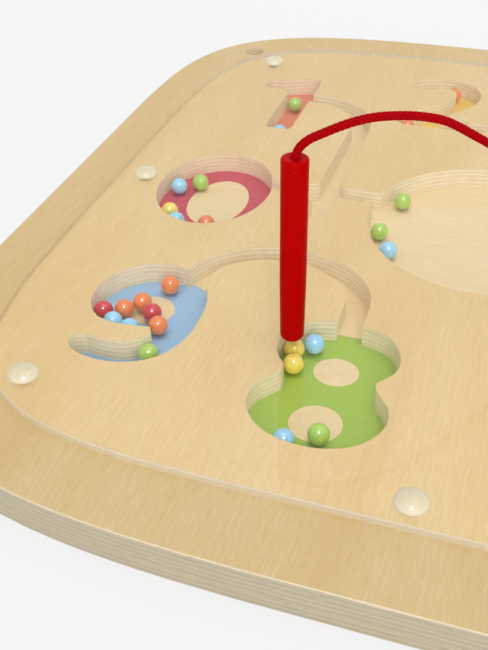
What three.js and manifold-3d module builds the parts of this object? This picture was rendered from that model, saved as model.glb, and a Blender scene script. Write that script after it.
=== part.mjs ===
// Counting and sorting board: a two-layer plywood board whose upper panel is routed
// with ten number-shaped pockets, joined by lanes to a round tray in the middle.
// A clear cover traps painted beads in the pockets, and a magnetic wand on a braided
// cord draws them along. Millimetres, +Z up, origin under the middle of the board.
import * as THREE from 'three';
import { mergeVertices } from 'three/addons/utils/BufferGeometryUtils.js';
import Module from 'manifold-3d';

const wasm = await Module();
wasm.setup();

// Beads: everything that they roll through is sized from them
const beadDiameter = 8.6;
const beadGap = 0.3;          // least gap between two beads that lie together
const beadHeadroom = 1.6;     // free height round a bead between base and cover
const laneClearance = 2.2;    // lane width beyond one bead
const beadPitch = beadDiameter + beadGap;
const laneWidth = beadDiameter + laneClearance;

// Board: plan size and layers
const boardWidth = 436.8;
const boardDepth = 458.0;
const boardSquarenessX = 3.7; // exponents of the rounded-square outline: bowed ends
const boardSquarenessY = 5.7; // and straighter sides
const baseThickness = 5.6;
const mazeThickness = beadDiameter + beadHeadroom;
const edgeEase = 0.4;         // eased arris round the rim

// Clear cover
const coverThickness = 3.0;
const coverSideRim = 26.4;    // bare wood left and right of the cover
const coverEndRim = 31.0;     // bare wood in front of and behind the cover
const coverSquareness = 5.2;
const coverEase = 0.5;

// Routed pockets
const trayRadius = 58.0;
const numberStroke = 14.8;
const zeroHalfWidth = 29.3;
const zeroHalfHeight = 36.7;
const cornerEase = 4.0;       // rounded block corners where lanes cross
const pocketCornerRadius = 4.5;

// Where the numbers stand, from the board's edges and its middle
const zeroInset = 79.2;       // 0 and 5 from the side edges
const oneInset = 81.4;        // 1 from the left edge
const fourInset = 88.4;       // 4 from the right edge
const nineInset = 86.4;       // 9 and 6 from the side edges
const backCornerInset = 118.5;  // 1 and 4 from the back edge
const backRowInset = 93.5;      // 2 and 3 from the back edge
const frontCornerInset = 116.5; // 9 and 6 from the front edge
const frontRowInset = 97.0;     // 8 and 7 from the front edge
const middleRowY = -1.5;
const innerNumberX = 45.0;    // 2, 3, 7 and 8 from the middle

// Lanes, right half mirrored from the left
const trunkShift = 1.15;      // trunk lane inwards from midway between tray and 0
const gateY = 11.5;
const topLaneDrop = 28.5;     // below the middle of 2 and 3
const archStand = 50.0;       // arch springs this far behind the middle of 8
const archRise = 30.0;
const archMouthInset = 13.0;  // outer foot of the arch inwards from the middle of 9
const mouthOverlap = 6.0;     // how far a lane runs into the pocket that it opens

// Fasteners along the cover's edge, their pattern a little off the middle
const fastenerSideInset = 17.2;
const fastenerEndInset = 13.5;
const fastenerCornerInsetX = 36.7;
const fastenerCornerInsetY = 33.2;
const fastenerShiftX = -2.3;
const fastenerShiftY = -3.3;
const screwShankDiameter = 3.0;
const screwHeadDiameter = 6.4;
const screwHeadHeight = 1.6;
const screwCrown = 1.0;       // rounding of the screw head
const screwBite = 2.4;        // how deep a screw goes into the base panel
const screwTip = 2.0;
const screwClearance = 0.3;
const driveWidth = 1.2;       // cross recess in the screw head
const driveLength = 3.2;
const driveDepth = 0.8;
const capRoom = 1.2;          // free space in a cap round the screw head
const capWall = 1.8;
const capRoof = 1.7;
const capSkirt = 0.6;         // straight edge under the dome

// Hanging holes in the rim
const hangHoleDiameter = 12.3;
const hangInsetX = 40.4;
const hangInsetY = 46.0;

// Wand
const wandX = -64.7;
const wandY = -114.2;
const wandDiameter = 10.4;
const wandLength = 80.4;
const wandTaper = 0.35;       // radius lost towards the foot
const wandTaperLength = 26.0;
const wandFootRadius = 2.2;
const wandWall = 1.2;
const wandCapHeight = 3.2;
const wandCapRim = 0.8;
const capSpigotLength = 5.0;
const cordMouthEase = 0.4;    // eased mouth of the cord hole in the cap
const magnetLength = 9.0;
const seatGap = 0.3;          // gap between pieces that fit into each other

// Cord
const cordDiameter = 3.4;
const cordHoleClearance = 0.6;
const knotRoom = 0.6;         // free space round the knot in the wand's bore
const anchorInset = 13.4;     // cord hole in the rim from the right edge
const anchorY = 60.0;
const knotRecess = 0.9;       // knot in its seat above the board's underside

// Fineness of round outlines
const chordError = 0.18;
const strokeStep = 5.0;
const outlineSteps = 96;
const beadSegments = 10;
const beadRings = 6;
const wandSteps = 18;
const capSteps = 14;
const screwSteps = 10;
const knotSteps = 6;
const knotSides = 10;
const cordSides = 8;
const cordSteps = 54;

// Heights and half sizes that follow
const mazeFloor = baseThickness;
const mazeTop = mazeFloor + mazeThickness;
const coverTop = mazeTop + coverThickness;
const halfWidth = boardWidth / 2;
const halfDepth = boardDepth / 2;
const coverHalfWidth = halfWidth - coverSideRim;
const coverHalfDepth = halfDepth - coverEndRim;
const cutMargin = 1.0;        // how far a cutter runs past the face that it cuts

const board = new THREE.Group();

function add(name, geometry, colour, roughness, x = 0, y = 0, z = 0, parent = board) {
  const material = new THREE.MeshStandardMaterial({ color: colour, roughness, metalness: 0 });
  const mesh = new THREE.Mesh(geometry, material);
  mesh.name = name;
  mesh.position.set(x, y, z);
  parent.add(mesh);
  return mesh;
}

// Joins and cuts
function solidOf(geometry) {
  const bare = geometry.clone();
  bare.deleteAttribute('normal');
  bare.deleteAttribute('uv');
  const merged = mergeVertices(bare, 1e-4);
  return new wasm.Manifold(new wasm.Mesh({
    numProp: 3,
    vertProperties: new Float32Array(merged.attributes.position.array),
    triVerts: new Uint32Array(merged.index.array),
  }));
}

function geometryOf(solid) {
  const mesh = solid.getMesh();
  const geometry = new THREE.BufferGeometry();
  geometry.setAttribute('position', new THREE.BufferAttribute(mesh.vertProperties, 3));
  geometry.setIndex(new THREE.BufferAttribute(mesh.triVerts, 1));
  geometry.computeVertexNormals();
  return geometry;
}

function join(solids) {
  return solids.reduce((whole, piece) => whole.add(piece));
}

// Outlines
function roundSteps(radius, sweep = 2 * Math.PI) {
  return Math.max(2, Math.ceil(sweep / (2 * Math.acos(1 - chordError / radius))));
}

function ellipseShape(x, y, radiusX, radiusY = radiusX) {
  const curve = new THREE.EllipseCurve(x, y, radiusX, radiusY);
  return new THREE.Shape(curve.getPoints(roundSteps(Math.max(radiusX, radiusY))).slice(1));
}

function roundedSquareShape(halfWidth, halfDepth, squarenessX, squarenessY) {
  const points = [];
  for (let step = 0; step < outlineSteps; step += 1) {
    const angle = (2 * Math.PI * step) / outlineSteps;
    const across = Math.sign(Math.cos(angle)) * Math.abs(Math.cos(angle)) ** (2 / squarenessX);
    const along = Math.sign(Math.sin(angle)) * Math.abs(Math.sin(angle)) ** (2 / squarenessY);
    points.push(new THREE.Vector2(halfWidth * across, halfDepth * along));
  }
  return new THREE.Shape(points);
}

function roundedPolygonShape(corners, radius) {
  const shape = new THREE.Shape();
  corners.forEach((corner, index) => {
    const before = corners[(index + corners.length - 1) % corners.length];
    const after = corners[(index + 1) % corners.length];
    const reach = Math.min(radius, corner.distanceTo(before) / 2, corner.distanceTo(after) / 2);
    const start = corner.clone().add(before.clone().sub(corner).setLength(reach));
    const end = corner.clone().add(after.clone().sub(corner).setLength(reach));
    if (index === 0) shape.moveTo(start.x, start.y);
    else shape.lineTo(start.x, start.y);
    shape.quadraticCurveTo(corner.x, corner.y, end.x, end.y);
  });
  return shape;
}

function closedSplineShape(points) {
  const lifted = points.map((point) => new THREE.Vector3(point.x, point.y, 0));
  const curve = new THREE.CatmullRomCurve3(lifted, true, 'centripetal');
  const steps = Math.ceil(curve.getLength() / strokeStep);
  return new THREE.Shape(curve.getSpacedPoints(steps).slice(1).map((p) => new THREE.Vector2(p.x, p.y)));
}

// A band of even width with round ends along a centre line
function strokeShape(curve, width) {
  const half = width / 2;
  const steps = curve.isLineCurve ? 1 : Math.ceil(curve.getLength() / strokeStep);
  const side = (share, sign) => {
    const point = curve.getPointAt(share);
    const tangent = curve.getTangentAt(share);
    return new THREE.Vector2(point.x - sign * half * tangent.y, point.y + sign * half * tangent.x);
  };
  const roundEnd = (share, heading) => {
    const point = curve.getPointAt(share);
    const tangent = curve.getTangentAt(share);
    const angle = Math.atan2(tangent.y, tangent.x) + heading;
    const turns = roundSteps(half, Math.PI);
    return Array.from({ length: turns - 1 }, (_, k) => {
      const at = angle + Math.PI / 2 - (Math.PI * (k + 1)) / turns;
      return new THREE.Vector2(point.x + half * Math.cos(at), point.y + half * Math.sin(at));
    });
  };
  const shares = Array.from({ length: steps + 1 }, (_, k) => k / steps);
  return new THREE.Shape([
    ...shares.map((share) => side(share, 1)),
    ...roundEnd(1, 0),
    ...shares.reverse().map((share) => side(share, -1)),
    ...roundEnd(0, Math.PI),
  ]);
}

const at = (x, y) => new THREE.Vector2(x, y);
const line = (x1, y1, x2, y2) => new THREE.LineCurve(at(x1, y1), at(x2, y2));
const spline = (...points) => new THREE.SplineCurve(points.map(([x, y]) => at(x, y)));

function prism(shape, bottom, top) {
  const geometry = new THREE.ExtrudeGeometry(shape, { depth: top - bottom, bevelEnabled: false });
  return geometry.translate(0, 0, bottom);
}

const mazeCutter = (shape) => solidOf(prism(shape, mazeFloor - cutMargin, mazeTop + cutMargin));

function drill(x, y, diameter, bottom, top) {
  const steps = roundSteps(diameter / 2);
  const geometry = new THREE.CylinderGeometry(diameter / 2, diameter / 2, top - bottom, steps);
  return solidOf(geometry.rotateX(Math.PI / 2).translate(x, y, (bottom + top) / 2));
}

// A flat sheet with its upper or lower outer arris eased
function easedSheet(shape, bottom, top, ease, easedSide) {
  const geometry = new THREE.ExtrudeGeometry(shape, {
    depth: top - bottom,
    bevelEnabled: true,
    bevelThickness: ease,
    bevelSize: ease,
    bevelOffset: -ease,
    bevelSegments: 1,
  });
  const reach = boardWidth + boardDepth;
  const [keepBottom, start] = easedSide > 0 ? [bottom, bottom - ease] : [bottom - cutMargin, bottom + ease];
  const keepTop = easedSide > 0 ? top + cutMargin : top;
  const keep = new THREE.BoxGeometry(reach, reach, keepTop - keepBottom);
  keep.translate(0, 0, (keepTop + keepBottom) / 2);
  return solidOf(geometry.translate(0, 0, start)).intersect(solidOf(keep));
}

// Number pockets, each drawn about its own centre
const numberCentres = {
  zero: at(zeroInset - halfWidth, middleRowY),
  one: at(oneInset - halfWidth, halfDepth - backCornerInset),
  two: at(-innerNumberX, halfDepth - backRowInset),
  three: at(innerNumberX, halfDepth - backRowInset),
  four: at(halfWidth - fourInset, halfDepth - backCornerInset),
  five: at(halfWidth - zeroInset, middleRowY),
  six: at(halfWidth - nineInset, frontCornerInset - halfDepth),
  seven: at(innerNumberX, frontRowInset - halfDepth),
  eight: at(-innerNumberX, frontRowInset - halfDepth),
  nine: at(nineInset - halfWidth, frontCornerInset - halfDepth),
};

const nineOutline = [
  [5, 36.5], [11, 33.5], [18.5, 27.5], [24, 15.5], [25.7, 2], [24.7, -13], [18, -26.8], [5, -34.4], [-9, -35.2],
  [-18.6, -31.4], [-21.6, -26.4], [-18.8, -22], [-11, -22.5], [0, -22], [6.5, -18], [10, -12], [8.4, -9.7],
  [0, -10.7], [-9, -11], [-17.5, -8.6], [-23.5, -1.5], [-26, 8.5], [-24.5, 19], [-18, 29.5], [-7, 36],
];
const eightRightSide = [
  [8, 36.4], [19, 31.2], [24.8, 20], [24, 10.5], [18, 1.6], [20.5, -2.8], [26.2, -11], [26.6, -21], [19.5, -32.2],
  [7.5, -37.7],
];

function pocketShapes(number) {
  const c = numberCentres[number];
  const bar = (x1, y1, x2, y2) => strokeShape(line(c.x + x1, c.y + y1, c.x + x2, c.y + y2), numberStroke);
  const bend = (...points) => strokeShape(spline(...points.map(([x, y]) => [c.x + x, c.y + y])), numberStroke);
  const about = (points, turn = 1) => points.map(([x, y]) => at(c.x + turn * x, c.y + turn * y));
  const mirrored = eightRightSide.map(([x, y]) => [-x, y]).reverse();
  switch (number) {
    case 'zero':
      return [ellipseShape(c.x, c.y, zeroHalfWidth, zeroHalfHeight)];
    case 'one':
      return [roundedPolygonShape(about([
        [0.5, -36.5], [16, -36.5], [16, 36.5], [6, 36.5], [-4, 31], [-16, 29], [-16, 16.5], [0.5, 16.5],
      ]), pocketCornerRadius)];
    case 'two':
      return [
        bend([-14.5, 22], [-8, 26.7], [0.5, 28.5], [10.5, 24.5], [15.3, 14], [12.5, 2.5], [2.5, -11], [-13.5, -27.5]),
        bar(-13.5, -28.5, 15.5, -28.5),
      ];
    case 'three':
      return [
        bend([-14.5, 24], [-6, 28], [4, 28.3], [13, 21.5], [12.5, 10], [1, 2.5]),
        bend([1, 2.5], [13.5, -3.5], [15.5, -17], [7, -27], [-4, -28.7], [-14.5, -25.5]),
      ];
    case 'four':
      return [
        bar(9, 29, 9, -29), bar(-15, -13, 17, -13), bar(9, 29, -15, -13),
        new THREE.Shape(about([[9, 29], [-15, -13], [9, -13]])),
      ];
    case 'five':
      return [
        bar(-13, 29, 16, 29), bar(-13, 29, -14.5, 4),
        bend([-14.5, 4], [-3, 9], [9.5, 5.5], [15.7, -8], [11.5, -22], [0, -29], [-14.5, -25.5]),
      ];
    case 'six':
      return [closedSplineShape(about(nineOutline, -1))];
    case 'seven':
      return [bar(-15.5, 29, 15.5, 29), bend([15.5, 29], [3, 0], [-4, -29])];
    case 'eight':
      return [closedSplineShape(about([...eightRightSide, ...mirrored]))];
    default:
      return [closedSplineShape(about(nineOutline))];
  }
}

// Lanes of one half, with side -1 on the left and 1 on the right
const topLaneY = numberCentres.two.y - topLaneDrop;
const sidePocketWall = numberCentres.five.x - zeroHalfWidth;
const trunkX = (sidePocketWall + trayRadius) / 2 - trunkShift;

function laneShapes(side) {
  const lane = (curve) => strokeShape(curve, laneWidth);
  const laneHalf = laneWidth / 2;
  const corner = side < 0 ? numberCentres.one : numberCentres.four;
  const mouthInset = side < 0 ? 13 : 6;
  const outerLane = spline(
    [corner.x - side * mouthInset, corner.y + 10], [side * (trunkX + 24.2), corner.y + 8],
    [side * (trunkX + 9.5), corner.y - 0.5], [side * (trunkX + 1.5), corner.y - 13.5],
    [side * trunkX, corner.y - 28.5],
  );
  const innerLeg = side * innerNumberX;
  const outerLeg = side * (numberCentres.six.x - archMouthInset);
  const archX = (innerLeg + outerLeg) / 2;
  const archY = numberCentres.eight.y + archStand;
  const arch = new THREE.EllipseCurve(archX, archY, Math.abs(outerLeg - innerLeg) / 2, archRise, 0, Math.PI);
  const corners = [-1, 1].flatMap((toX) => [-1, 1].map((toY) => cornerShape(
    side * trunkX + toX * laneHalf, gateY + toY * laneHalf, toX, toY,
  )));
  return [
    lane(outerLane),
    lane(line(side * trunkX, corner.y - 26, side * trunkX, archY + archRise)),
    lane(line(side * (sidePocketWall + mouthOverlap), gateY, side * (trayRadius - mouthOverlap), gateY)),
    lane(arch),
    lane(line(innerLeg, archY, innerLeg, archY - 16)),
    lane(line(outerLeg, archY, outerLeg - 2 * side, archY - 8)),
    lane(line(side * (innerNumberX - 15.5), topLaneY, 0, topLaneY)),
    ...corners,
  ];
}

// The sliver that rounds a square block corner standing at x, y
function cornerShape(x, y, toX, toY) {
  const shape = new THREE.Shape();
  shape.moveTo(x - toX * cutMargin, y - toY * cutMargin);
  shape.lineTo(x + toX * cornerEase, y - toY * cutMargin);
  shape.lineTo(x + toX * cornerEase, y);
  shape.quadraticCurveTo(x, y, x, y + toY * cornerEase);
  shape.lineTo(x - toX * cutMargin, y + toY * cornerEase);
  return shape;
}

// Where fasteners and rim holes stand
const fastenerSideX = coverHalfWidth - fastenerSideInset;
const fastenerEndY = coverHalfDepth - fastenerEndInset;
const fastenerCornerX = coverHalfWidth - fastenerCornerInsetX;
const fastenerCornerY = coverHalfDepth - fastenerCornerInsetY;
const fastenerPlaces = [
  [0, -fastenerEndY], [fastenerCornerX, -fastenerCornerY], [fastenerSideX, 0], [fastenerCornerX, fastenerCornerY],
  [0, fastenerEndY], [-fastenerCornerX, fastenerCornerY], [-fastenerSideX, 0], [-fastenerCornerX, -fastenerCornerY],
].map(([x, y]) => at(x + fastenerShiftX, y + fastenerShiftY));
const hangPlaces = [-1, 1].flatMap((x) => (
  [-1, 1].map((y) => at(x * (halfWidth - hangInsetX), y * (halfDepth - hangInsetY)))
));
const anchorX = halfWidth - anchorInset;

const wandRadius = wandDiameter / 2;
const wandBore = wandRadius - wandWall;
const knotDiameter = 2 * (wandBore - knotRoom);
const anchorSeatDepth = knotDiameter + seatGap + knotRecess;  // bored from under the board
const screwHoleDiameter = screwShankDiameter + 2 * screwClearance;
const screwPoint = baseThickness - screwBite;
const screwLength = coverTop - screwPoint;
const knotSeatDiameter = knotDiameter + 2 * seatGap + 2;
const cordHoleDiameter = cordDiameter + 2 * cordHoleClearance;

function rimHoles(bottom, top) {
  return hangPlaces.map((place) => drill(place.x, place.y, hangHoleDiameter, bottom, top));
}

function screwHoles(bottom, top) {
  return fastenerPlaces.map((place) => drill(place.x, place.y, screwHoleDiameter, bottom, top));
}

// Wooden layers
const boardShape = roundedSquareShape(halfWidth, halfDepth, boardSquarenessX, boardSquarenessY);
const below = -cutMargin;

const basePanel = easedSheet(boardShape, 0, baseThickness, edgeEase, -1)
  .subtract(join([
    ...rimHoles(below, baseThickness + cutMargin),
    ...screwHoles(screwPoint - seatGap, baseThickness + cutMargin),
    drill(anchorX, anchorY, knotSeatDiameter, below, baseThickness + cutMargin),
  ]));
add('base_panel', geometryOf(basePanel), 0xe9d3a6, 0.6);

const pockets = Object.keys(numberCentres).flatMap(pocketShapes);
const lanes = [...laneShapes(-1), ...laneShapes(1)];
const centreLane = strokeShape(line(0, topLaneY, 0, trayRadius - mouthOverlap), laneWidth);
const routed = [...pockets, ...lanes, centreLane, ellipseShape(0, 0, trayRadius)].map(mazeCutter);

const mazePanel = easedSheet(boardShape, mazeFloor, mazeTop, edgeEase, 1)
  .subtract(join([
    ...routed,
    ...rimHoles(mazeFloor - cutMargin, mazeTop + cutMargin),
    ...screwHoles(mazeFloor - cutMargin, mazeTop + cutMargin),
    drill(anchorX, anchorY, cordHoleDiameter, mazeFloor - cutMargin, mazeTop + cutMargin),
    drill(anchorX, anchorY, knotSeatDiameter, mazeFloor - cutMargin, anchorSeatDepth),
  ]));
add('maze_panel', geometryOf(mazePanel), 0xe4cda0, 0.55);

const coverShape = roundedSquareShape(coverHalfWidth, coverHalfDepth, coverSquareness, coverSquareness);
const cover = easedSheet(coverShape, mazeTop, coverTop, coverEase, 1)
  .subtract(join(screwHoles(mazeTop - cutMargin, coverTop + cutMargin)));
const coverMesh = add('cover_sheet', geometryOf(cover), 0xf4f6f4, 0.05);
coverMesh.material.transparent = true;
coverMesh.material.opacity = 0.15;

// Screws under domed caps
function turned(points, steps) {
  const geometry = new THREE.LatheGeometry(points.map(([r, z]) => at(r, z)), steps);
  return geometry.rotateX(Math.PI / 2);
}

function screwGeometry() {
  const shank = screwShankDiameter / 2;
  const head = screwHeadDiameter / 2;
  const body = turned([
    [0, -screwLength], [shank, screwTip - screwLength], [shank, 0], [head, 0], [head, screwHeadHeight - screwCrown],
    [head - screwCrown, screwHeadHeight], [0, screwHeadHeight],
  ], screwSteps);
  const slot = (alongX) => {
    const [sizeX, sizeY] = alongX ? [driveLength, driveWidth] : [driveWidth, driveLength];
    const box = new THREE.BoxGeometry(sizeX, sizeY, 2 * driveDepth);
    return solidOf(box.translate(0, 0, screwHeadHeight));
  };
  return geometryOf(solidOf(body).subtract(slot(true)).subtract(slot(false)));
}

function capGeometry() {
  const inner = screwHeadDiameter / 2 + capRoom;
  const outer = inner + capWall;
  const roof = screwHeadHeight + seatGap;
  const rise = roof + capRoof - capSkirt;
  const domeSteps = 4;
  const dome = Array.from({ length: domeSteps + 1 }, (_, k) => {
    const angle = (Math.PI / 2) * (k / domeSteps);
    return [k < domeSteps ? outer * Math.cos(angle) : 0, capSkirt + rise * Math.sin(angle)];
  });
  return turned([[0, roof], [inner, roof], [inner, 0], [outer, 0], ...dome], capSteps);
}

fastenerPlaces.forEach((place, index) => {
  add(`cover_screw_${index + 1}`, screwGeometry(), 0xb9bcbf, 0.35, place.x, place.y, coverTop).material.metalness = 1;
  add(`screw_cap_${index + 1}`, capGeometry(), 0xeee2c6, 0.3, place.x, place.y, coverTop);
});

// Beads, laid in clusters: a first bead from its pocket's centre, the rest in pitches from it
const beadColours = { red: 0xc4373c, orange: 0xe67d50, yellow: 0xe6d264, green: 0xa9cf66, blue: 0x96cdeb };
const clusters = [
  ['zero', -22.2, 4.8, [['blue', 0, 0], ['green', 1.06, 0.8]]],
  ['zero', -17.3, -20.5, [['yellow', 0, 0], ['blue', 0.74, -0.9], ['orange', 2.5, -0.73]]],
  ['one', 6, 9.3, [['green', 0, 0]]],
  ['one', 7.8, -29.9, [['blue', 0, 0]]],
  ['two', 5, 25.9, [['orange', 0, 0]]],
  ['two', -14.4, -26.3, [['orange', 0, 0]]],
  ['three', 15.5, -17, [['yellow', 0, 0]]],
  ['four', 9, 15.5, [['blue', 0, 0]]],
  ['four', 9, -22.5, [['red', 0, 0]]],
  ['five', 15.6, -7.5, [['orange', 0, 0]]],
  ['five', 0.5, -28.5, [['green', 0, 0]]],
  ['six', -1, -8.5, [['red', 0, 0]]],
  ['seven', 3, 0, [['yellow', 0, 0]]],
  ['eight', -19.3, 20.6, [['yellow', 0, 0], ['yellow', 0.25, -1.05], ['blue', 0.79, 0.63]]],
  ['eight', -8.3, -31.8, [['blue', 0, 0], ['green', 1.3, 0.74]]],
  ['nine', -20, 2.5, [
    ['red', 0, 0], ['orange', 0.94, 0.4], ['orange', 1.58, 1.18], ['red', 2.4, 0.48], ['orange', 3.08, -0.38],
    ['blue', 0.84, -0.71], ['blue', 1.84, -0.96],
  ]],
  ['nine', 0.9, 28.9, [['orange', 0, 0]]],
  ['nine', 11, -19.8, [['green', 0, 0]]],
  ['tray', -45, 21.5, [['green', 0, 0]]],
  ['tray', -50.3, -10.8, [['green', 0, 0]]],
  ['tray', -42.8, -26.1, [['blue', 0, 0]]],
  ['tray', 30, -30, [['orange', 0, 0]]],
  ['tray', 38, 12, [['blue', 0, 0]]],
];
const beadCounts = {};
const beadHeight = mazeFloor + seatGap + beadDiameter / 2;
for (const [pocket, firstX, firstY, members] of clusters) {
  const centre = numberCentres[pocket] ?? at(0, 0);
  for (const [colour, stepsX, stepsY] of members) {
    beadCounts[pocket] = (beadCounts[pocket] ?? 0) + 1;
    const sphere = new THREE.SphereGeometry(beadDiameter / 2, beadSegments, beadRings).rotateX(Math.PI / 2);
    const x = centre.x + firstX + stepsX * beadPitch;
    const y = centre.y + firstY + stepsY * beadPitch;
    add(`bead_${pocket}_${beadCounts[pocket]}`, sphere, beadColours[colour], 0.25, x, y, beadHeight);
  }
}

// Wand, standing on the cover
const wand = new THREE.Group();
wand.position.set(wandX, wandY, coverTop);
board.add(wand);

const footRadius = wandRadius - wandTaper;
const tubeTop = wandLength - wandCapHeight;
const roundShare = 1 - Math.SQRT1_2;  // how far a quarter round stands in at its middle
const wandRed = 0xb9000c;

const footCut = wandFootRadius * roundShare;
const tube = turned([
  [0, 0], [footRadius - wandFootRadius, 0], [footRadius - footCut, footCut], [footRadius, wandFootRadius],
  [wandRadius, wandTaperLength], [wandRadius, tubeTop], [wandBore, tubeTop], [wandBore, wandTaperLength],
  [footRadius - wandWall, wandWall + wandFootRadius], [footRadius - wandWall, wandWall], [0, wandWall],
], wandSteps);
add('wand_tube', tube, wandRed, 0.3, 0, 0, 0, wand);

const spigotRadius = wandBore - seatGap;
const cordPass = cordHoleDiameter / 2;
const rimCut = wandCapRim * roundShare;
const mouthCut = cordMouthEase * roundShare;
const cap = turned([
  [cordPass, tubeTop - capSpigotLength], [spigotRadius, tubeTop - capSpigotLength], [spigotRadius, tubeTop],
  [wandRadius, tubeTop], [wandRadius, wandLength - wandCapRim], [wandRadius - rimCut, wandLength - rimCut],
  [wandRadius - wandCapRim, wandLength], [cordPass + cordMouthEase, wandLength],
  [cordPass + mouthCut, wandLength - mouthCut], [cordPass, wandLength - cordMouthEase],
  [cordPass, tubeTop - capSpigotLength],
], wandSteps);
add('wand_cap', cap, wandRed, 0.3, 0, 0, 0, wand);

const magnetRadius = footRadius - wandWall - seatGap;
const magnet = turned([
  [0, 0], [magnetRadius - seatGap, 0], [magnetRadius, seatGap], [magnetRadius, magnetLength - seatGap],
  [magnetRadius - seatGap, magnetLength], [0, magnetLength],
], wandSteps);
add('wand_magnet', magnet, 0x9a9da0, 0.3, 0, 0, wandWall + seatGap, wand).material.metalness = 1;

// Stopper knots: one drawn up under the wand's cap, one in its seat under the board
function knotGeometry() {
  const radius = knotDiameter / 2;
  const profile = Array.from({ length: knotSteps + 1 }, (_, k) => {
    const angle = (Math.PI * k) / knotSteps - Math.PI / 2;
    return [k % knotSteps ? radius * Math.cos(angle) : 0, radius * Math.sin(angle)];
  });
  return turned(profile, knotSides);
}
const cordRed = 0xc8001c;
const wandKnotHeight = tubeTop - capSpigotLength - seatGap - knotDiameter / 2;
const boardKnotHeight = anchorSeatDepth - seatGap - knotDiameter / 2;
add('wand_knot', knotGeometry(), cordRed, 0.9, 0, 0, wandKnotHeight, wand);
add('board_knot', knotGeometry(), cordRed, 0.9, anchorX, anchorY, boardKnotHeight);

// Cord: out of the wand's cap, over in an arch, down on the cover and into the rim
const cordRest = coverTop + cordDiameter / 2 + seatGap;
const cordStart = coverTop + wandKnotHeight + knotDiameter / 2 + seatGap;
const cordEnd = boardKnotHeight + knotDiameter / 2 + seatGap;
const capTop = coverTop + wandLength;
const cordRoute = [
  [wandX, wandY, cordStart], [wandX, wandY, capTop - 4], [wandX, wandY, capTop - 1.1],
  [wandX + 1.1, wandY + 0.7, capTop + 3.3], [wandX + 4, wandY + 2.6, capTop + 6.2], [-56, -109.4, capTop + 8.4],
  [-51.3, -106.6, capTop + 10.1], [-46.6, -103.8, capTop + 11.4], [-40.5, -100, capTop + 12.2],
  [-32.2, -94.8, capTop + 11.7], [-24.6, -89.8, capTop + 10.1], [-16.8, -84.7, capTop + 7.1],
  [-5.7, -77.5, capTop - 0.9], [6, -70, capTop - 10.5], [18, -62.4, capTop - 23.5], [30, -54.6, capTop - 38],
  [42, -46.8, capTop - 52.5], [54, -39, capTop - 65], [66, -31.4, cordRest + 4.6], [78, -24, cordRest + 1],
  [92, -16.4, cordRest], [108, -8, cordRest], [124, 2, cordRest], [139, 14.5, cordRest], [153, 28.5, cordRest],
  [167, 42, cordRest], [180, 52, cordRest + 0.4], [191, 57.6, cordRest + 1.8], [199, 59.7, cordRest + 2],
  [anchorX - 1.4, anchorY, cordRest - 1.4], [anchorX, anchorY, cordRest - 6.4], [anchorX, anchorY, cordEnd],
].map(([x, y, z]) => new THREE.Vector3(x, y, z));
const cordSection = new THREE.Shape(Array.from({ length: cordSides }, (_, k) => {
  const angle = (2 * Math.PI * k) / cordSides;
  return at((cordDiameter / 2) * Math.cos(angle), (cordDiameter / 2) * Math.sin(angle));
}));
const cord = new THREE.ExtrudeGeometry(cordSection, {
  steps: cordSteps,
  extrudePath: new THREE.CatmullRomCurve3(cordRoute, false, 'centripetal'),
});
add('tether_cord', cord, cordRed, 0.9);

export default board;
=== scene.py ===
"""Counting and sorting board, dressed for a studio view.

A two-layer plywood board has ten routed number pockets, lanes and a round tray under a clear
cover. Painted beads lie in the pockets, and a magnetic wand on a braided cord draws them along.
Lengths are in metres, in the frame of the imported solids, with +Z up. The cord's route and the
fields of the printed numbers are laid out in millimetres.
"""
import logging
import math
from contextlib import contextmanager
from dataclasses import dataclass, field, replace
from enum import Enum
from typing import Any, Iterator, Optional, Sequence

import bpy
from mathutils import Matrix, Vector


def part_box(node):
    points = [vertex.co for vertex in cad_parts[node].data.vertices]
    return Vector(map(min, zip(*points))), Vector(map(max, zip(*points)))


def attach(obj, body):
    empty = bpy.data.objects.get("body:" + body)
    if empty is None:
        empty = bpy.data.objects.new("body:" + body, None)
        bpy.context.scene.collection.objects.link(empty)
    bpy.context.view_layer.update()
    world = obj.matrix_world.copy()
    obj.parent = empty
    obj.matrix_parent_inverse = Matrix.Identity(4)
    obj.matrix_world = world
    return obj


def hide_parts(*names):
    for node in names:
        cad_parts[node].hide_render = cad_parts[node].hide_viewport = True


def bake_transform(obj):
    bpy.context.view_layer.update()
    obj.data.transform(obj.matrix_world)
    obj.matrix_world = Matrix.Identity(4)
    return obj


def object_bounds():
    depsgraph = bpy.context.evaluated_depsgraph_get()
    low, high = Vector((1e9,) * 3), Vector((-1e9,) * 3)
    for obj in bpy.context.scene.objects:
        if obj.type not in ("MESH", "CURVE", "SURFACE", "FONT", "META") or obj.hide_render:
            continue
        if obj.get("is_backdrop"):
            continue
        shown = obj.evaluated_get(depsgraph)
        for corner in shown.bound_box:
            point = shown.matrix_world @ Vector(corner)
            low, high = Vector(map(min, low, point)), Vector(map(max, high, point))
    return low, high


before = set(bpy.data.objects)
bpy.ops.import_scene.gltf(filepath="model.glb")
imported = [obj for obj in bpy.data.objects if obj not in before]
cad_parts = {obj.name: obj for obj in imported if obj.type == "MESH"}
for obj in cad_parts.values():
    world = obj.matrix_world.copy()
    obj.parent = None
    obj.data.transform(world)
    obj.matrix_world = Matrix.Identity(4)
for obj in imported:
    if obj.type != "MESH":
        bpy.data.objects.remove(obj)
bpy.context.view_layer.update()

LOG = logging.getLogger("sorting_board")
MM = 0.001
WELD = 1e-6              # corners nearer than this are merged
POLE = 0.02 * MM         # radius of the ring that closes a turned end
FIBRE_SCALE = 1500.0     # noise across the veneer's fibres
FIBRE_DRAW = 0.045       # scale of that noise along the fibres
BOARD = "board"
WAND = "wand"
Point = tuple[float, float, float]
Colour = tuple[float, float, float, float]


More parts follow.
